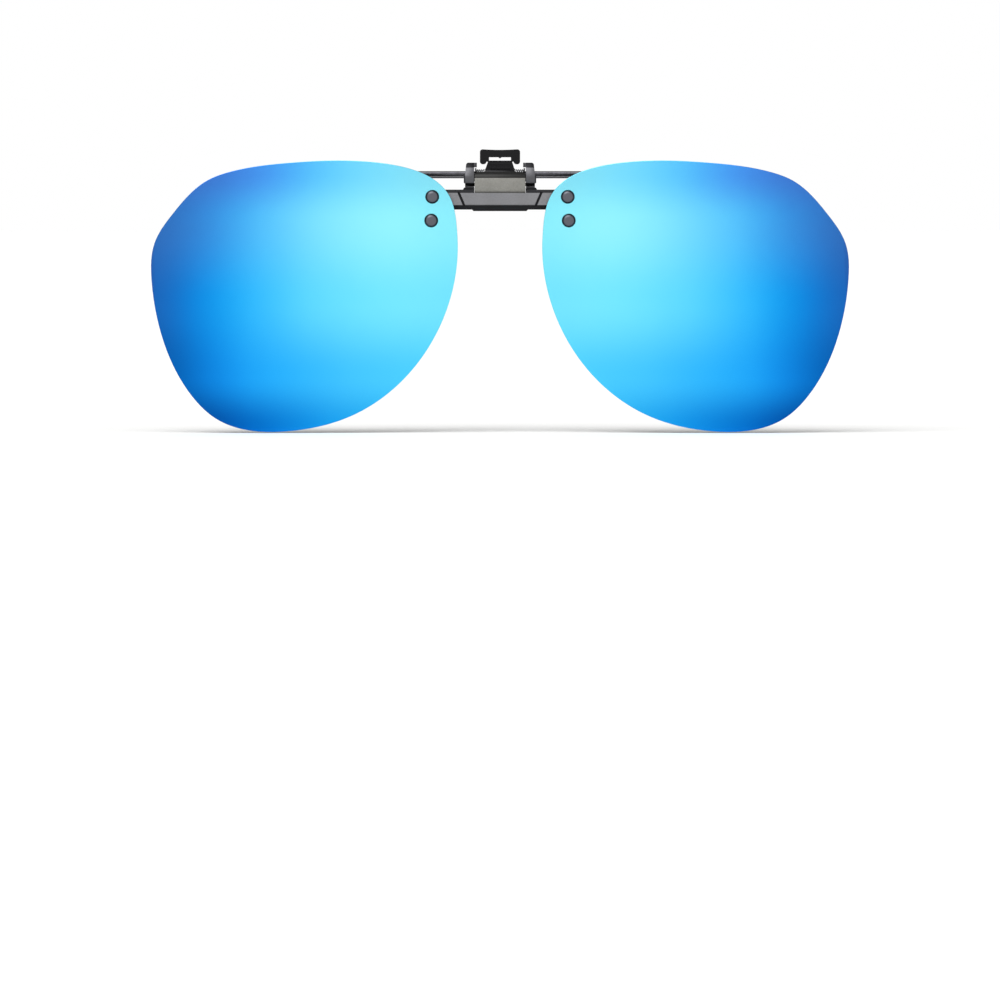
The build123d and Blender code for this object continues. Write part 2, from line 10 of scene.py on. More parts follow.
import bmesh
import bpy
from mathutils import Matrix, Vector


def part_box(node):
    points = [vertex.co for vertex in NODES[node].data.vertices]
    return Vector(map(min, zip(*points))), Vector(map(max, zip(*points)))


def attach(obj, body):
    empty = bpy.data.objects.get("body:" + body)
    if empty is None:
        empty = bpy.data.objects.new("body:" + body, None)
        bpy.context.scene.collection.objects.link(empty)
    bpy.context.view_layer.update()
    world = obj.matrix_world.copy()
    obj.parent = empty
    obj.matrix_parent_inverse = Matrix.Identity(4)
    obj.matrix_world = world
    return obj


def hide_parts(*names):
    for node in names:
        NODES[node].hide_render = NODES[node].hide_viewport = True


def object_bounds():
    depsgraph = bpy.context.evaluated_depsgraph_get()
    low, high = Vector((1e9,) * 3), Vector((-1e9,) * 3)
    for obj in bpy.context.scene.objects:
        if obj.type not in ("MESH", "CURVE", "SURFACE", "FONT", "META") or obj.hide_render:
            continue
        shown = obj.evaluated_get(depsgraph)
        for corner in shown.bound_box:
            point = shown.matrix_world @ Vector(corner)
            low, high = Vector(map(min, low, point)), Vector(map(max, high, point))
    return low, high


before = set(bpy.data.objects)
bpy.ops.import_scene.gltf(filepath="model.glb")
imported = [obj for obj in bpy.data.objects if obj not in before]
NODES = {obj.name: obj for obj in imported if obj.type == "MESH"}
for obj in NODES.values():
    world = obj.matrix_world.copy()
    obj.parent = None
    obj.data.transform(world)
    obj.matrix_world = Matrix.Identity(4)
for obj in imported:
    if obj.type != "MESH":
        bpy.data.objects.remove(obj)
MM = 0.001
cad_low, cad_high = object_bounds()
print("CAD box in mm:", [round(v / MM, 1) for v in (*cad_low, *cad_high)])

# %% [markdown]
# ## Colours
# A paint chart gives colours as sRGB hex values, and Blender's shaders work in linear light. The numbers
# could be converted one by one outside Blender, but then nobody could read them, so one function does it.


# %% Hex colours to linear light
def linear(hex_colour):
    """sRGB hex to linear RGBA."""
    channels = [int(hex_colour[i:i + 2], 16) / 255 for i in (1, 3, 5)]
    lit = [c / 12.92 if c <= 0.04045 else ((c + 0.055) / 1.055) ** 2.4 for c in channels]
    return (*lit, 1.0)


print("mid grey #808080 is", round(linear("#808080")[0], 3), "in linear light")

# %% [markdown]
# ## Shader nodes
# A shader is a small graph of nodes. Placing each node takes three steps: make it, set its properties,
# and fill its inputs with values or with links from other nodes. One function does all three for every
# kind of node, so a material further down reads as a short list of what it is made of.


# %% Adding a node
def add(tree, kind, inputs=None, stops=None, blend="EASE", **settings):
    """A node of that kind; inputs are values, or other nodes' output sockets to link from.

    A colour ramp also takes its stops, as (position, hex colour) pairs, and how they blend.
    """
    node = tree.nodes.new(kind)
    for key, value in settings.items():
        setattr(node, key, value)
    for key, value in (inputs or {}).items():
        if isinstance(value, bpy.types.NodeSocket):
            tree.links.new(value, node.inputs[key])
        else:
            node.inputs[key].default_value = value
    if stops:
        node.color_ramp.interpolation = blend
        elements = node.color_ramp.elements
        while len(elements) < len(stops):
            elements.new(0.5)  # moved to its place below
        for element, (position, hex_colour) in zip(elements, stops):
            element.position = position
            element.color = linear(hex_colour)
    return node


# %% [markdown]
# ## The studio
# The object is small and glossy, so what it reflects matters more than what shines on it. The room is a
# soft wrap that is white in front of the lenses and dimmer above and behind, as in a light tent that is
# open at the back. Panels with lamps could make such a tent too, but their edges would show in the
# mirrors, so the tent is a smooth change of brightness in the world itself. The camera sees plain white.

# %% Light tent
FRONT_LIGHT, SIDE_LIGHT = 1.05, 0.52
TENT_OPENS, TENT_FULL = 0.25, -0.75  # where the brightness starts and stops growing; -1 is straight ahead
WHITE = linear("#FFFFFF")

scene = bpy.context.scene
scene.view_settings.view_transform = "Standard"
world = bpy.data.worlds.new("light_tent")
scene.world = world
world.use_nodes = True
room = world.node_tree
room.nodes.clear()
direction = add(room, "ShaderNodeTexCoord").outputs["Generated"]
depth = add(room, "ShaderNodeSeparateXYZ", {"Vector": direction}).outputs["Y"]
tent = add(room, "ShaderNodeMapRange", {
    "Value": depth, "From Min": TENT_OPENS, "From Max": TENT_FULL,
    "To Min": SIDE_LIGHT, "To Max": FRONT_LIGHT,
}, interpolation_type="SMOOTHSTEP")
lit_wall = add(room, "ShaderNodeBackground", {"Color": WHITE, "Strength": tent.outputs["Result"]})
plain_wall = add(room, "ShaderNodeBackground", {"Color": WHITE, "Strength": 1.0})
seen = add(room, "ShaderNodeLightPath").outputs["Is Camera Ray"]
walls = add(room, "ShaderNodeMixShader", {0: seen, 1: lit_wall.outputs[0], 2: plain_wall.outputs[0]})
add(room, "ShaderNodeOutputWorld", {"Surface": walls.outputs[0]})
print("tent brightness:", FRONT_LIGHT, "in front,", SIDE_LIGHT, "behind")

# %% [markdown]
# A pale floor runs under the lenses and takes their shadow. It is matte paper, so it shows no reflection
# of its own, and it is big enough for its far edge to vanish in the white of the room.


# %% Floor
def new_material(name):
    """Material with an empty node tree; returns both."""
    material = bpy.data.materials.new(name)
    material.use_nodes = True
    material.node_tree.nodes.clear()
    return material, material.node_tree


FLOOR_SIDE = 60.0  # metres
FLOOR_GAP = 0.2 * MM

floor_paper, tree = new_material("pale_matte_floor")
shader = add(tree, "ShaderNodeBsdfPrincipled", {
    "Base Color": linear("#F6F6F5"), "Roughness": 0.9, "Specular IOR Level": 0.1,
})
add(tree, "ShaderNodeOutputMaterial", {"Surface": shader.outputs["BSDF"]})
bpy.ops.mesh.primitive_plane_add(size=FLOOR_SIDE, location=(0, 0, cad_low.z - FLOOR_GAP))
floor = bpy.context.object
floor.name = "studio_floor"
floor.data.materials.append(floor_paper)
print("floor stands at", round(floor.location.z / MM, 2), "mm")

# %% [markdown]
# The key light is a sun with a very wide disc. A big soft box would be as soft, but it would light the
# near floor more than the far floor. The sun lights all of it evenly, so the mirrors, which reflect the
# floor, stay even too.

# %% Key light
KEY_STRENGTH, KEY_DISC = 1.85, math.radians(50)
KEY_SHINES = Vector((0.35, 0.65, -1.0))  # to the right, back and down

key = bpy.data.lights.new("key_light", "SUN")
key.energy, key.angle = KEY_STRENGTH, KEY_DISC
key_holder = bpy.data.objects.new("key_light", key)
scene.collection.objects.link(key_holder)
key_holder.rotation_euler = KEY_SHINES.to_track_quat("-Z", "Y").to_euler()
key_height = math.degrees(math.asin(-KEY_SHINES.normalized().z))
print("key light comes from", round(key_height), "degrees above the floor")

# %% [markdown]
# ## The camera
# A short lens close by would make the near parts larger and bend the outlines. A long lens far away
# keeps the two lenses the same size and their outlines true. It looks almost level, straight at the
# front, and is aimed below the object, which stands in the upper half.

# %% Camera
CAMERA_ELEVATION = math.radians(2)
CAMERA_DISTANCE = 1.6
VIEW_WIDTH = 200.2 * MM
BELOW_MIDDLE = 41.9 * MM

camera_data = bpy.data.cameras.new("product_camera")
camera = bpy.data.objects.new("product_camera", camera_data)
scene.collection.objects.link(camera)
scene.camera = camera
back = Vector((0, -math.cos(CAMERA_ELEVATION), math.sin(CAMERA_ELEVATION)))
lens_front_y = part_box("lens_right")[0].y
middle = (cad_low + cad_high) / 2
target = Vector((0, lens_front_y, middle.z - BELOW_MIDDLE))
camera.location = target + back * CAMERA_DISTANCE
camera.rotation_euler = (-back).to_track_quat("-Z", "Y").to_euler()
camera_data.sensor_width = 36.0
camera_data.lens = camera_data.sensor_width * CAMERA_DISTANCE / VIEW_WIDTH
camera_data.clip_start, camera_data.clip_end = 0.01, 100.0
print("lens of", round(camera_data.lens), "mm,", round(camera.location.z / MM), "mm above the grip")

# %% [markdown]
# ## Mirror-coated lens
# The sheet is cellulose triacetate with a polarising film inside. Its front carries a vacuum-deposited
# blue mirror of oxide layers. Its colour is drawn running from a bright cyan by the nose to deep blue at the
# outer bottom corner and violet blue at the outer top corner: the blue hues are the coat's own, and the
# lighter nose side and the darker outer and lower parts are a painted reflection of a bright light straight
# in front. A thin-film shader could work the colours out, but it gives rainbow fringes that this coat
# doesn't have. So the colours are drawn as five bands at five heights, blended with one another, over how
# far out the point is.

# %% Colours of the mirror coat, with a painted reflection
OUTER_MM = 70.0
# coat colours with a painted reflection: lighter towards the nose, darker outwards and downwards
COAT_AND_REFLECTION_BANDS = [  # height in mm, then (distance from the middle in mm, colour)
    (14, [(12, "#84DAEC"), (25, "#78DCFA"), (37, "#52BFF8"),
          (46, "#4696F0"), (56, "#3C76CE"), (68, "#3A62B4")]),
    (4, [(9, "#84E6F6"), (22, "#96F2FF"), (36, "#78DCFA"),
         (48, "#48B8F8"), (58, "#3288DA"), (69, "#3062AC")]),
    (-12, [(9, "#6EDAF4"), (22, "#76E4FC"), (38, "#58D0FA"),
           (50, "#20B0F8"), (60, "#0082DC"), (69, "#1C5AAA")]),
    (-27, [(15, "#4CCAF8"), (30, "#40BEF8"), (40, "#2CB0F6"),
           (50, "#1AA0F2"), (58, "#067EDA"), (66, "#0452A0")]),
    (-37, [(22, "#28ACEC"), (34, "#1496E4"), (42, "#0880D4"),
           (50, "#0068C0"), (56, "#0050A4"), (62, "#003C86")]),
]
print(len(COAT_AND_REFLECTION_BANDS), "bands of", len(COAT_AND_REFLECTION_BANDS[0][1]), "colours")

# %% [markdown]
# The distance from the middle plane is the same left and right, so both lenses share the material. A
# little noise moves that distance by up to 1.6 mm, since a real coat never drifts quite evenly.

# %% Position on the coat
DRIFT_MM, DRIFT_PATCH_MM = 1.6, 26.0

mirror_coat, tree = new_material("vacuum_mirror_coat_on_triacetate")
place = add(tree, "ShaderNodeTexCoord").outputs["Object"]
split = add(tree, "ShaderNodeSeparateXYZ", {"Vector": place})
mirrored = add(tree, "ShaderNodeMath", {0: split.outputs["X"]}, operation="ABSOLUTE").outputs[0]
patches = add(tree, "ShaderNodeTexNoise", {
    "Vector": place, "Scale": 1 / (DRIFT_PATCH_MM * MM), "Detail": 1.0,
}).outputs["Fac"]
drift = add(tree, "ShaderNodeMapRange", {
    "Value": patches, "To Min": -DRIFT_MM * MM, "To Max": DRIFT_MM * MM,
}).outputs["Result"]
outward = add(tree, "ShaderNodeMath", {0: mirrored, 1: drift}, operation="ADD").outputs[0]
across = add(tree, "ShaderNodeMapRange", {"Value": outward, "From Max": OUTER_MM * MM}).outputs["Result"]
print(mirror_coat.name, "drifts by", DRIFT_MM, "mm")

# %% [markdown]
# Each band is one colour ramp over that distance, and neighbouring bands are mixed by height. A painted
# picture could hold the colours too, but ramps stay smooth at any size and need no file.

# %% Bands blended by height
colour, last_height = None, None
for height, stops in COAT_AND_REFLECTION_BANDS:
    shares = [(mm / OUTER_MM, hex_colour) for mm, hex_colour in stops]
    band = add(tree, "ShaderNodeValToRGB", {"Fac": across}, shares, "B_SPLINE").outputs["Color"]
    if colour is None:
        colour = band
    else:
        share = add(tree, "ShaderNodeMapRange", {
            "Value": split.outputs["Z"], "From Min": last_height * MM, "From Max": height * MM,
        }, interpolation_type="SMOOTHSTEP").outputs["Result"]
        colour = add(tree, "ShaderNodeMix", {"Factor": share, 6: colour, 7: band},
                     data_type="RGBA").outputs[2]
    last_height = height
print("bands run from", COAT_AND_REFLECTION_BANDS[0][0], "to", last_height, "mm")

# %% [markdown]
# The coat acts like a polished metal, so it is metallic with very low roughness: it gives the eye one
# clean sweep of colour that takes on the brightness of the room. Plastic sheet isn't ground flat like
# glass, so it also has a very slight wave, which bends what it reflects by a hair.

# %% Gloss of the mirror coat
SMEAR_MM, WAVE_MM, WAVE_DEEP_MM = 3.0, 14.0, 0.004

smears = add(tree, "ShaderNodeTexNoise", {"Vector": place, "Scale": 1 / (SMEAR_MM * MM), "Detail": 3.0})
rough = add(tree, "ShaderNodeMapRange", {"Value": smears.outputs["Fac"], "To Min": 0.05, "To Max": 0.09})
waves = add(tree, "ShaderNodeTexNoise", {"Vector": place, "Scale": 1 / (WAVE_MM * MM), "Detail": 0.0})
wavy = add(tree, "ShaderNodeBump", {"Height": waves.outputs["Fac"], "Distance": WAVE_DEEP_MM * MM})
shader = add(tree, "ShaderNodeBsdfPrincipled", {
    "Base Color": colour, "Metallic": 0.96, "Roughness": rough.outputs["Result"],
    "Normal": wavy.outputs["Normal"],
})
add(tree, "ShaderNodeOutputMaterial", {"Surface": shader.outputs["BSDF"]})
print(mirror_coat.name, "has", len(tree.nodes), "nodes")

# %% [markdown]
# ## Plain finishes
# Most of the small pieces are nearly one colour, but a perfectly even surface looks like a computer
# drawing. On the real ones the tone and the gloss both drift a little from handling, and some surfaces
# have a fine relief. The finishes differ only in those sizes and tones, so one function makes them all.


# %% Plain finish
DARKER_AT, LIGHTER_AT = 0.3, 0.7  # noise values where each tone is reached


def plain_finish(name, constants, tone, gloss=None, relief=None):
    """Material that drifts softly between two tones and, where given, two roughnesses.

    tone is (patch size in mm, noise detail, darker hex, lighter hex), gloss is (patch size in mm,
    lowest roughness, highest roughness) and relief is (bump size in mm, noise detail, depth in mm).
    """
    material, tree = new_material(name)
    place = add(tree, "ShaderNodeTexCoord").outputs["Object"]
    size_mm, detail, darker, lighter = tone
    patches = add(tree, "ShaderNodeTexNoise", {
        "Vector": place, "Scale": 1 / (size_mm * MM), "Detail": detail,
    })
    colour = add(tree, "ShaderNodeValToRGB", {"Fac": patches.outputs["Fac"]},
                 [(DARKER_AT, darker), (LIGHTER_AT, lighter)])
    inputs = {"Base Color": colour.outputs["Color"], **constants}
    if gloss:
        size_mm, low, high = gloss
        smears = add(tree, "ShaderNodeTexNoise", {
            "Vector": place, "Scale": 1 / (size_mm * MM), "Detail": 3.0,
        })
        rough = add(tree, "ShaderNodeMapRange", {
            "Value": smears.outputs["Fac"], "To Min": low, "To Max": high,
        })
        inputs["Roughness"] = rough.outputs["Result"]
    if relief:
        size_mm, detail, deep_mm = relief
        bumps = add(tree, "ShaderNodeTexNoise", {
            "Vector": place, "Scale": 1 / (size_mm * MM), "Detail": detail,
        })
        uneven = add(tree, "ShaderNodeBump", {
            "Height": bumps.outputs["Fac"], "Distance": deep_mm * MM,
        })
        inputs["Normal"] = uneven.outputs["Normal"]
    shader = add(tree, "ShaderNodeBsdfPrincipled", inputs)
    add(tree, "ShaderNodeOutputMaterial", {"Surface": shader.outputs["BSDF"]})
    print(name, "has", len(tree.nodes), "nodes")
    return material


# %% [markdown]
# The back of the sheet is bare smoke-grey triacetate. From behind it looks almost black, under a cool
# glossy sheen. It could be drawn as clear tinted plastic, but the coat in front stops nearly all the
# light, so an opaque dark plastic looks the same and renders without noise. The edge is sawn and
# polished: it has the same smoke colour with some blue of the coat in it, and is duller.

# %% Bare back and cut edge of the sheet
TRIACETATE_IOR = 1.49

smoke_back = plain_finish(
    "smoke_triacetate_back", {"IOR": TRIACETATE_IOR, "Coat Weight": 0.4},
    (30.0, 1.0, "#15191F", "#1D242C"), (2.0, 0.05, 0.10))
cut_edge = plain_finish(
    "polished_triacetate_edge", {"IOR": TRIACETATE_IOR, "Roughness": 0.22},
    (4.0, 1.0, "#26425A", "#2E4F6A"), relief=(0.25, 3.0, 0.004))

# %% [markdown]
# ## Blackened metal
# The bar, the clip frame and the lever are pressed or cast, tumbled and then blackened. Tumbling leaves
# a fine satin grain, which breaks highlights into a soft grey glow. The grain could be real geometry, but
# it is far too fine for that, so it is a small bump with a speckle in colour and gloss. It is drawn at a
# fifth of a millimetre, coarser than the real one, because a finer one would not show.


# %% Satin metal
GRAIN_MM, BLOTCH_MM = 0.22, 3.5
BLOTCH_SHIFT = 0.2
SPECKLE_LOW, SPECKLE_HIGH = 0.2, 0.8  # noise values of the darkest and the lightest speck
DARK_SPECK, LIGHT_SPECK = 0.84, 1.14  # brightness of those specks against the base colour


def satin_metal(name, hex_colour, low_rough, high_rough, relief_mm=0.010, metallic=0.9):
    """Tumbled metal: fine speckle in colour and gloss, and a little relief."""
    material, tree = new_material(name)
    place = add(tree, "ShaderNodeTexCoord").outputs["Object"]
    fine = add(tree, "ShaderNodeTexNoise", {
        "Vector": place, "Scale": 1 / (GRAIN_MM * MM), "Detail": 4.0,
    }).outputs["Fac"]
    blotches = add(tree, "ShaderNodeTexNoise", {
        "Vector": place, "Scale": 1 / (BLOTCH_MM * MM), "Detail": 1.0,
    }).outputs["Fac"]
    shift = add(tree, "ShaderNodeMapRange", {
        "Value": blotches, "To Min": -BLOTCH_SHIFT, "To Max": BLOTCH_SHIFT,
    }).outputs["Result"]
    speckle = add(tree, "ShaderNodeMath", {0: fine, 1: shift}, operation="ADD").outputs[0]
    shade = add(tree, "ShaderNodeMapRange", {
        "Value": speckle, "From Min": SPECKLE_LOW, "From Max": SPECKLE_HIGH,
        "To Min": DARK_SPECK, "To Max": LIGHT_SPECK,
    }).outputs["Result"]
    colour = add(tree, "ShaderNodeMix", {"Factor": 1.0, 6: linear(hex_colour), 7: shade},
                 data_type="RGBA", blend_type="MULTIPLY").outputs[2]
    rough = add(tree, "ShaderNodeMapRange", {"Value": fine, "To Min": low_rough, "To Max": high_rough})
    tumbled = add(tree, "ShaderNodeBump", {"Height": fine, "Distance": relief_mm * MM})
    shader = add(tree, "ShaderNodeBsdfPrincipled", {
        "Base Color": colour, "Metallic": metallic, "Roughness": rough.outputs["Result"],
        "Normal": tumbled.outputs["Normal"],
    })
    add(tree, "ShaderNodeOutputMaterial", {"Surface": shader.outputs["BSDF"]})
    print(name, "has", len(tree.nodes), "nodes")
    return material


# %% [markdown]
# Each of those pieces is one blackened metal, but its broad front faces are painted a lighter gunmetal
# grey as a painted reflection of the bright front of the room, and the chamfers, grooves and tops stay
# black, so each of those pieces has two finishes. The cover's flat front is painted light grey as a painted
# reflection in the same way, and its bend over the top is painted dark as painted shade, which gives one
# light face between black lugs.

# %% Black metals and their painted reflections
black_casting = satin_metal("blackened_zinc_casting", "#212123", 0.32, 0.46)
# painted reflection: a lighter copy of the black casting for the faces that point to the front
casting_painted_reflection = satin_metal("casting_front_painted_reflection", "#828285", 0.30, 0.44)
black_pressing = satin_metal("blackened_steel_pressing", "#1E1E20", 0.30, 0.44)
# painted reflection: a lighter copy of the black pressing for the faces that point to the front
pressing_painted_reflection = satin_metal("pressing_front_painted_reflection", "#58585B", 0.32, 0.46)
# painted shade on the cover's bend over the top, painted reflection on its flat front
cover_painted_shade = satin_metal("cover_bend_painted_shade", "#2A2A29", 0.32, 0.46)
cover_painted_reflection = satin_metal("cover_face_painted_reflection", "#8C8B86", 0.30, 0.42, 0.012)

# The lever is lacquered after blackening. The lacquer fills most of the grain, so it is the darkest and
# glossiest of the metals, and it catches a clear line of light on the rim of its tab.
lever_black = satin_metal("gloss_black_lever_lacquer", "#121214", 0.20, 0.32, 0.005, 0.7)

# Rivets and the pin are cut from smooth wire and not tumbled, so they look a little cooler and cleaner.
rivet_finish = satin_metal("blackened_steel_rivet", "#2C2D32", 0.26, 0.38, 0.004)

# %% [markdown]
# ## Wires and springs
# The wires are spring steel with a thin black lacquer. The lacquer is smooth, so it shows a crisp streak
# of light along the top of the wire. A glossy black plastic would show the streak too, but its dark
# side would be flat black; a clear coat over dark metal keeps a soft grey there. The jaw springs and the
# leaf are the same steel left bare, so they are the only bright silver pieces.

# %% Spring steel
wire_lacquer = plain_finish(
    "black_lacquered_spring_wire", {"Metallic": 0.85, "Coat Weight": 0.5, "Coat Roughness": 0.08},
    (0.8, 3.0, "#3A3A3E", "#4A4A50"), (0.5, 0.18, 0.3))
bright_steel = plain_finish(
    "bright_spring_steel", {"Metallic": 1.0},
    (0.4, 3.0, "#8C8D90", "#B4B5B8"), (0.3, 0.2, 0.34))

# %% [markdown]
# ## Nylon and rubber
# The cam and the washers are moulded in black nylon, which has a soft waxy shine. The pads are moulded in
# silicone rubber. Its skin is matte with a very fine mould texture and a faint bloom at glancing angles,
# which a little sheen gives. Both are ordinary plastics to a shader: not metallic, with their own IOR.

# %% Moulded plastics
nylon = plain_finish(
    "moulded_black_nylon", {"IOR": 1.53, "Roughness": 0.45},
    (0.6, 3.0, "#141415", "#1D1D1F"))
rubber = plain_finish(
    "moulded_silicone_rubber", {"IOR": 1.43, "Sheen Weight": 0.15},
    (1.5, 3.0, "#121213", "#1C1C1E"), (0.4, 0.5, 0.68), (0.12, 4.0, 0.01))

# %% [markdown]
# ## Lens rivets
# The four rivets on the lenses are black domes. Their crowns are painted greyer than their skirts, a
# painted highlight where the bright front of the room would reflect, so the domes look rounder. Two
# materials on one dome would leave a hard line, so a single ramp follows how far the surface turns to the
# front.

# %% Rivet crown with a painted highlight
SKIRT_TURN, CROWN_TURN = -0.45, -1.0  # Y of the surface direction; -1 points straight to the front
RIVET_SMEAR_MM, SCRATCH_MM, SCRATCH_DEEP_MM = 0.2, 0.15, 0.003

rivet_painted_highlight, tree = new_material("blackened_rivet_painted_highlight")
coordinates = add(tree, "ShaderNodeTexCoord").outputs
facing = add(tree, "ShaderNodeSeparateXYZ", {"Vector": coordinates["Normal"]}).outputs["Y"]
highlight_share = add(tree, "ShaderNodeMapRange", {
    "Value": facing, "From Min": SKIRT_TURN, "From Max": CROWN_TURN,
}, interpolation_type="SMOOTHSTEP")
# painted highlight: the crown that faces the front is painted grey and the skirt nearly black
colour = add(tree, "ShaderNodeValToRGB", {"Fac": highlight_share.outputs["Result"]},
             [(0.0, "#0D0D14"), (0.45, "#24252C"), (1.0, "#5E5F66")])
smears = add(tree, "ShaderNodeTexNoise", {
    "Vector": coordinates["Object"], "Scale": 1 / (RIVET_SMEAR_MM * MM), "Detail": 3.0,
})
rough = add(tree, "ShaderNodeMapRange", {"Value": smears.outputs["Fac"], "To Min": 0.28, "To Max": 0.40})
scratches = add(tree, "ShaderNodeTexNoise", {
    "Vector": coordinates["Object"], "Scale": 1 / (SCRATCH_MM * MM), "Detail": 3.0,
})
scuffed = add(tree, "ShaderNodeBump", {"Height": scratches.outputs["Fac"], "Distance": SCRATCH_DEEP_MM * MM})
shader = add(tree, "ShaderNodeBsdfPrincipled", {
    "Base Color": colour.outputs["Color"], "Metallic": 0.9, "Roughness": rough.outputs["Result"],
    "Normal": scuffed.outputs["Normal"],
})
add(tree, "ShaderNodeOutputMaterial", {"Surface": shader.outputs["BSDF"]})
print(rivet_painted_highlight.name, "has", len(tree.nodes), "nodes")

# %% [markdown]
# ## Softened edges
# A pressed or cast piece never has a razor edge: tumbling rounds it by about a tenth of a millimetre,
# and that small round is what catches the light. A bevel node in the shader could fake it, but then the
# mesh itself would stay sharp. So each metal piece is a copy of its CAD mesh with the flat facets merged
# and a real bevel on the sharp edges.
#
# First the edges are sorted. Where two faces turn sharply, the edge gets a round. Where they turn
# gently, they belong to one curved surface and are shaded smooth, and all the other faces stay flat.


# %% Sharp and gentle edges
WELD = 0.0005 * MM  # points closer than this are one point
FLAT = math.radians(0.6)  # facets that turn less are one flat face
GENTLE, SHARP = math.radians(1), math.radians(35)  # an edge that turns by an angle between is a curve


def sorted_edges(shape):
    """Merges flat facets and shades the curved faces smooth; returns the edges that need a round."""
    bmesh.ops.remove_doubles(shape, verts=shape.verts, dist=WELD)
    bmesh.ops.dissolve_limit(shape, angle_limit=FLAT, verts=shape.verts, edges=shape.edges)
    shape.normal_update()
    turns = {e: e.calc_face_angle() for e in shape.edges if len(e.link_faces) == 2}
    sharp = {e for e, turn in turns.items() if turn > SHARP}
    gentle = {e for e, turn in turns.items() if GENTLE < turn and e not in sharp}
    for face in shape.faces:
        face.smooth = any(edge in gentle for edge in face.edges)
    return list(sharp)


sample = bmesh.new()
sample.from_mesh(NODES["bridge_bar"].data)
print("the bar has", len(sorted_edges(sample)), "sharp edges")
sample.free()

# %% [markdown]
# A finished mesh becomes a piece when it is put in the scene. It has to move with the right body and
# stand for the CAD node it was made from, which is then hidden. Each mesh that is made below needs the
# same calls, so one function makes them.


# %% Placing a piece
def placed(name, mesh, node, body):
    """Object that stands for a CAD node, which is hidden, and moves with that body."""
    piece = bpy.data.objects.new(name, mesh)
    scene.collection.objects.link(piece)
    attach(piece, body)
    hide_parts(node)
    print(name, len(mesh.polygons), "faces")


# %% [markdown]
# The round itself is a bevel of two steps on each sharp edge, which is enough for so small a round. Its
# faces are shaded smooth, and then each face gets its finish.


# %% Piece with softened edges
def softened(node, name, body, edge_mm, materials, pick=None, segments=2):
    """Copy of a CAD node's mesh with its sharp edges rounded by edge_mm; stands for that node.

    pick takes a face's centre and normal, and gives the number of its material.
    """
    mesh = NODES[node].data.copy()
    mesh.name = name
    mesh.materials.clear()
    for material in materials:
        mesh.materials.append(material)
    shape = bmesh.new()
    shape.from_mesh(mesh)
    rounds = bmesh.ops.bevel(shape, geom=sorted_edges(shape), offset=edge_mm * MM, offset_type="OFFSET",
                             segments=segments, profile=0.5, affect="EDGES", clamp_overlap=True)
    for face in rounds["faces"]:
        face.smooth = True
    shape.normal_update()
    for face in shape.faces:
        face.material_index = pick(face.calc_center_median(), face.normal) if pick else 0
    bmesh.ops.triangulate(shape, faces=[f for f in shape.faces if len(f.verts) > 4])
    shape.to_mesh(mesh)
    shape.free()
    for attribute in ("custom_normal", "sharp_edge"):
        if attribute in mesh.attributes:
            mesh.attributes.remove(mesh.attributes[attribute])
    placed(name, mesh, node, body)


# %% [markdown]
# ## Lenses
# Each lens is a flat cut sheet. Its outline could be drawn again and given a thickness, but the CAD mesh
# has the outline and the rivet holes already. The rim gets a small polished round, and the three
# surfaces get their own finish: coat in front, bare smoke behind, polished cut round the edge.


# %% Lenses
LENS_EDGE_MM, LENS_EDGE_STEPS = 0.15, 3
COAT_TURN, BACK_TURN = -0.5, 0.9  # Y of a face's direction where the coat and the back take over


def lens_surface(centre, normal):
    """0 coat in front, 1 bare back, 2 cut edge."""
    if normal.y < COAT_TURN:
        return 0
    return 1 if normal.y > BACK_TURN else 2


for side in ("left", "right"):
    softened(f"lens_{side}", f"mirror_lens_{side}", "flip_front", LENS_EDGE_MM,
             [mirror_coat, smoke_back, cut_edge], lens_surface, LENS_EDGE_STEPS)

# %% [markdown]
# ## Bar, cover, frame and lever
# These keep their shape, with softened edges. Painting the lighter faces with a mask would need a picture,
# so the colour of each face follows where it points and how far forward it stands: on the bar only the
# raised faces get the painted reflection, and the grooves at the ends of the trapezoid stay black.


# %% Which faces get the painted reflection
BAR_RECESS = 0.45 * MM
BAR_TURN, FRAME_TURN, COVER_TURN = -0.98, -0.93, -0.995  # Y of a face's direction; -1 is the front
bar_front_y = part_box("bridge_bar")[0].y


# painted reflection: the faces picked as 1 get the lighter copy of the metal
def bar_surface(centre, normal):
    """1 on the flat front faces that stand proud, 0 elsewhere."""
    return int(normal.y < BAR_TURN and centre.y < bar_front_y + BAR_RECESS)


def front_surface(centre, normal):
    """1 on faces that point to the front, 0 elsewhere."""
    return int(normal.y < FRAME_TURN)


def flat_front_surface(centre, normal):
    """1 on the flat that points straight to the front, 0 where the sheet starts to bend over."""
    return int(normal.y < COVER_TURN)


print("front of the bar stands at", round(bar_front_y / MM, 2), "mm")

# %% [markdown]
# The rows below give each piece its body, the size of its round in millimetres, its finishes, the rule
# that picks between them, and its material slot. One row per piece could also be one cell per piece, but
# a table makes it easy to compare the rounds: the frame has the largest, and the leaf, which is a strip
# of thin sheet, has the smallest.

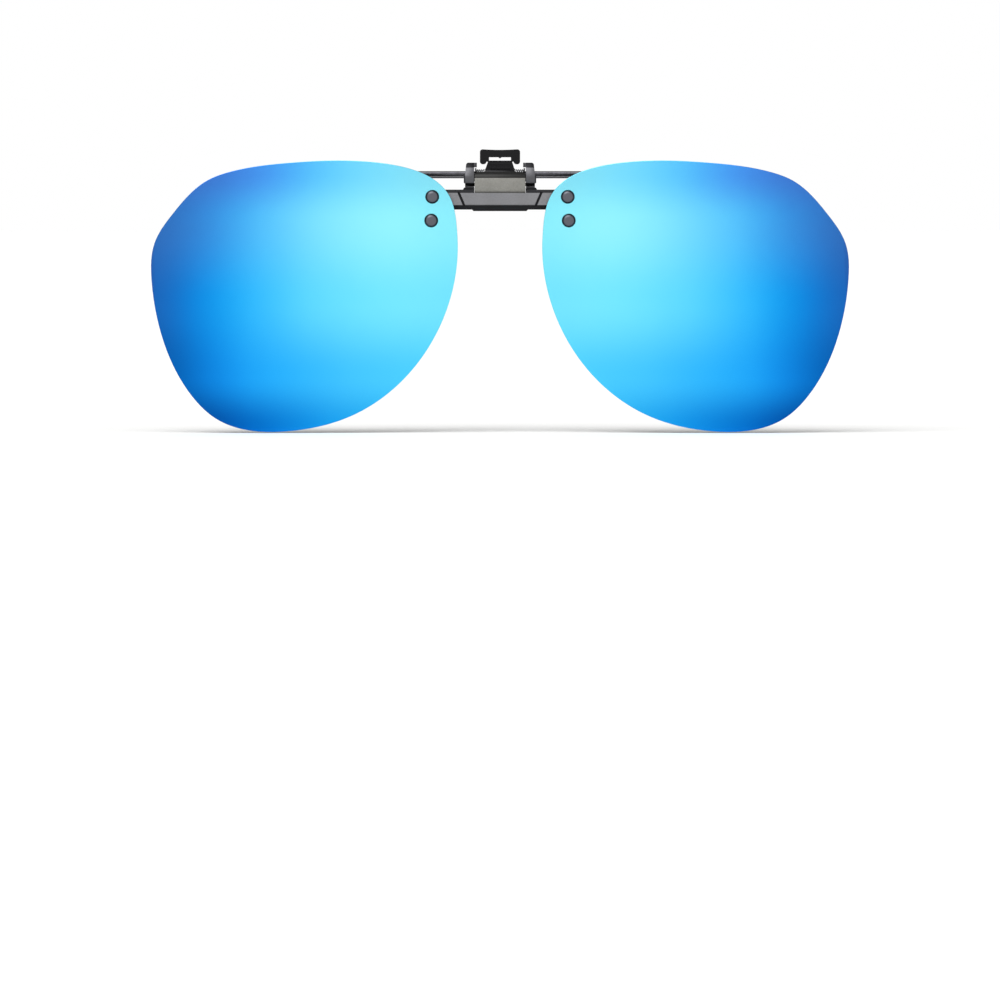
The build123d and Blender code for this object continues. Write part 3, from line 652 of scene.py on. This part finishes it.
# %% Metal pieces
for node, body, edge_mm, finishes, pick, slot in [
    ("bridge_bar", "flip_front", 0.07, [black_casting, casting_painted_reflection], bar_surface, "black_metal"),
    ("hinge_cover", "flip_front", 0.06, [cover_painted_shade, cover_painted_reflection], flat_front_surface, "grey_cover"),
    ("cam_knuckle", "flip_front", 0.06, [nylon], None, "nylon"),
    ("clip_frame", "clip", 0.12, [black_pressing, pressing_painted_reflection], front_surface, "black_metal"),
    ("hinge_pin", "clip", 0.05, [rivet_finish], None, "spring_steel"),
    ("detent_leaf", "clip", 0.03, [bright_steel], None, "spring_steel"),
    ("leaf_rivets", "clip", 0.06, [rivet_finish], None, "black_metal"),
    ("thumb_lever", "rear_jaw", 0.10, [lever_black], None, "black_metal"),
    ("wire_clamp", "rear_jaw", 0.08, [black_pressing], None, "black_metal"),
    ("clamp_rivets", "rear_jaw", 0.10, [rivet_finish], None, "black_rivet"),
    ("rivet_caps", "flip_front", 0.05, [rivet_finish], None, "black_rivet"),
    ("lens_rivets", "flip_front", 0.05, [rivet_painted_highlight], None, "black_rivet"),
]:
    softened(node, f"{node}_finished", body, edge_mm, finishes, pick)

# %% [markdown]
# ## Rubber pads
# A pad is a thick silicone sleeve, moulded in two halves and pushed on the end of a wire. Its grip face
# has a ladder of shallow grooves so that it doesn't slip on a spectacle rim, its foot is round, and the
# mould leaves a fine parting line down both sides. A bevelled box with a bump pattern would do from afar,
# but the grooves show on the outline of the pad, so they are geometry. The pad is built ring by ring:
# each height gives how far the ring stands in from the full section, so the foot, the collar and the
# grooves are all one formula.


# %% How far a ring of the pad stands in
FOOT_R_MM, COLLAR_R_MM = 1.0, 0.55
GROOVE_PITCH_MM, GROOVE_WIDE_MM, GROOVE_DEEP_MM = 0.85, 0.34, 0.13
PLAIN_FOOT_MM, PLAIN_COLLAR_MM = 1.3, 1.6  # lengths at the ends that have no grooves


def end_inset(distance, radius):
    """How far a ring stands in, at a distance from an end that is rounded by radius."""
    if distance >= radius:
        return 0.0
    return radius - math.sqrt(radius ** 2 - (radius - distance) ** 2)


def groove_inset(height, length):
    """Depth of the ladder of grooves at a height; none near the foot or the collar."""
    if not PLAIN_FOOT_MM < height < length - PLAIN_COLLAR_MM:
        return 0.0
    from_middle = abs((height % GROOVE_PITCH_MM) - GROOVE_PITCH_MM / 2)
    share = max(0.0, 1 - (2 * from_middle / GROOVE_WIDE_MM) ** 2)
    return GROOVE_DEEP_MM * share


print("foot stands in", round(end_inset(FOOT_R_MM / 2, FOOT_R_MM), 2), "mm half way up its round")

# %% [markdown]
# The section of a sleeve is between a box and an ellipse. A superellipse gives that with one exponent:
# 2 is an ellipse, and a larger one is squarer.


# %% One ring of the pad
RING_POINTS, RING_STEP_MM = 56, 0.06
SQUARENESS = 3.2
GRIP_SHARE = 0.3  # how far round the section the grip face starts, as a sine
PARTING_WIDE, PARTING_PROUD_MM = 0.05, 0.03


def pad_ring(half_x, half_y, inset, groove, grip_way):
    """Points of one ring in mm round the pad's centre line, with its grooves and parting line."""
    points = []
    for number in range(RING_POINTS):
        angle = math.tau * number / RING_POINTS
        c, s = math.cos(angle), math.sin(angle)
        x = math.copysign(abs(c) ** (2 / SQUARENESS), c) * (half_x - inset)
        y = math.copysign(abs(s) ** (2 / SQUARENESS), s) * (half_y - inset)
        if s * grip_way > GRIP_SHARE:
            y -= grip_way * groove
        if abs(s) < PARTING_WIDE and inset < COLLAR_R_MM / 2:
            x += math.copysign(PARTING_PROUD_MM, c)
        points.append((x, y))
    return points


print("a ring has", len(pad_ring(1.0, 1.0, 0.0, 0.0, 1)), "points")

# %% [markdown]
# The rings are stacked along the pad and joined with four-sided faces, and the first and last ring are
# closed. The box of the CAD pad gives the size, so the new pad fills exactly the same space.


# %% Pads
def moulded_pad(node, body):
    """Pad that stands for a CAD pad node; its grip face is the one towards the middle of the grip."""
    low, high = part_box(node)
    centre = (low + high) / 2
    half_x, half_y = (high.x - low.x) / 2 / MM, (high.y - low.y) / 2 / MM
    length = (high.z - low.z) / MM
    grip_way = -math.copysign(1, centre.y)
    shape = bmesh.new()
    last_ring = None
    for step in range(round(length / RING_STEP_MM) + 1):
        height = min(step * RING_STEP_MM, length)
        inset = end_inset(height, FOOT_R_MM) + end_inset(length - height, COLLAR_R_MM)
        points = pad_ring(half_x, half_y, inset, groove_inset(height, length), grip_way)
        z = low.z + height * MM
        ring = [shape.verts.new((centre.x + x * MM, centre.y + y * MM, z)) for x, y in points]
        if last_ring is None:
            shape.faces.new(reversed(ring))
        else:
            for number in range(RING_POINTS):
                after = (number + 1) % RING_POINTS
                shape.faces.new((last_ring[number], last_ring[after], ring[after], ring[number]))
        last_ring = ring
    shape.faces.new(last_ring)
    for face in shape.faces:
        face.smooth = len(face.verts) == 4
    mesh = bpy.data.meshes.new(f"{node}_rubber")
    shape.to_mesh(mesh)
    shape.free()
    mesh.materials.append(rubber)
    placed(mesh.name, mesh, node, body)


for side in ("left", "right"):
    moulded_pad(f"front_pad_{side}", "clip")
    moulded_pad(f"rear_pad_{side}", "rear_jaw")

# %% [markdown]
# ## Pieces kept as designed
# The wires and the springs are round rods and the washers are plain rings. New meshes could follow the
# same curves, but they would look the same, so these pieces stay as designed and take their finishes.

# %% Finishes on kept nodes
for node, finish in {
    "front_jaw_wire": wire_lacquer,
    "rear_jaw_wire": wire_lacquer,
    "jaw_spring_left": bright_steel,
    "jaw_spring_right": bright_steel,
    "lens_washers": nylon,
}.items():
    mesh = NODES[node].data
    mesh.materials.clear()
    mesh.materials.append(finish)
    print(node, "is", finish.name)
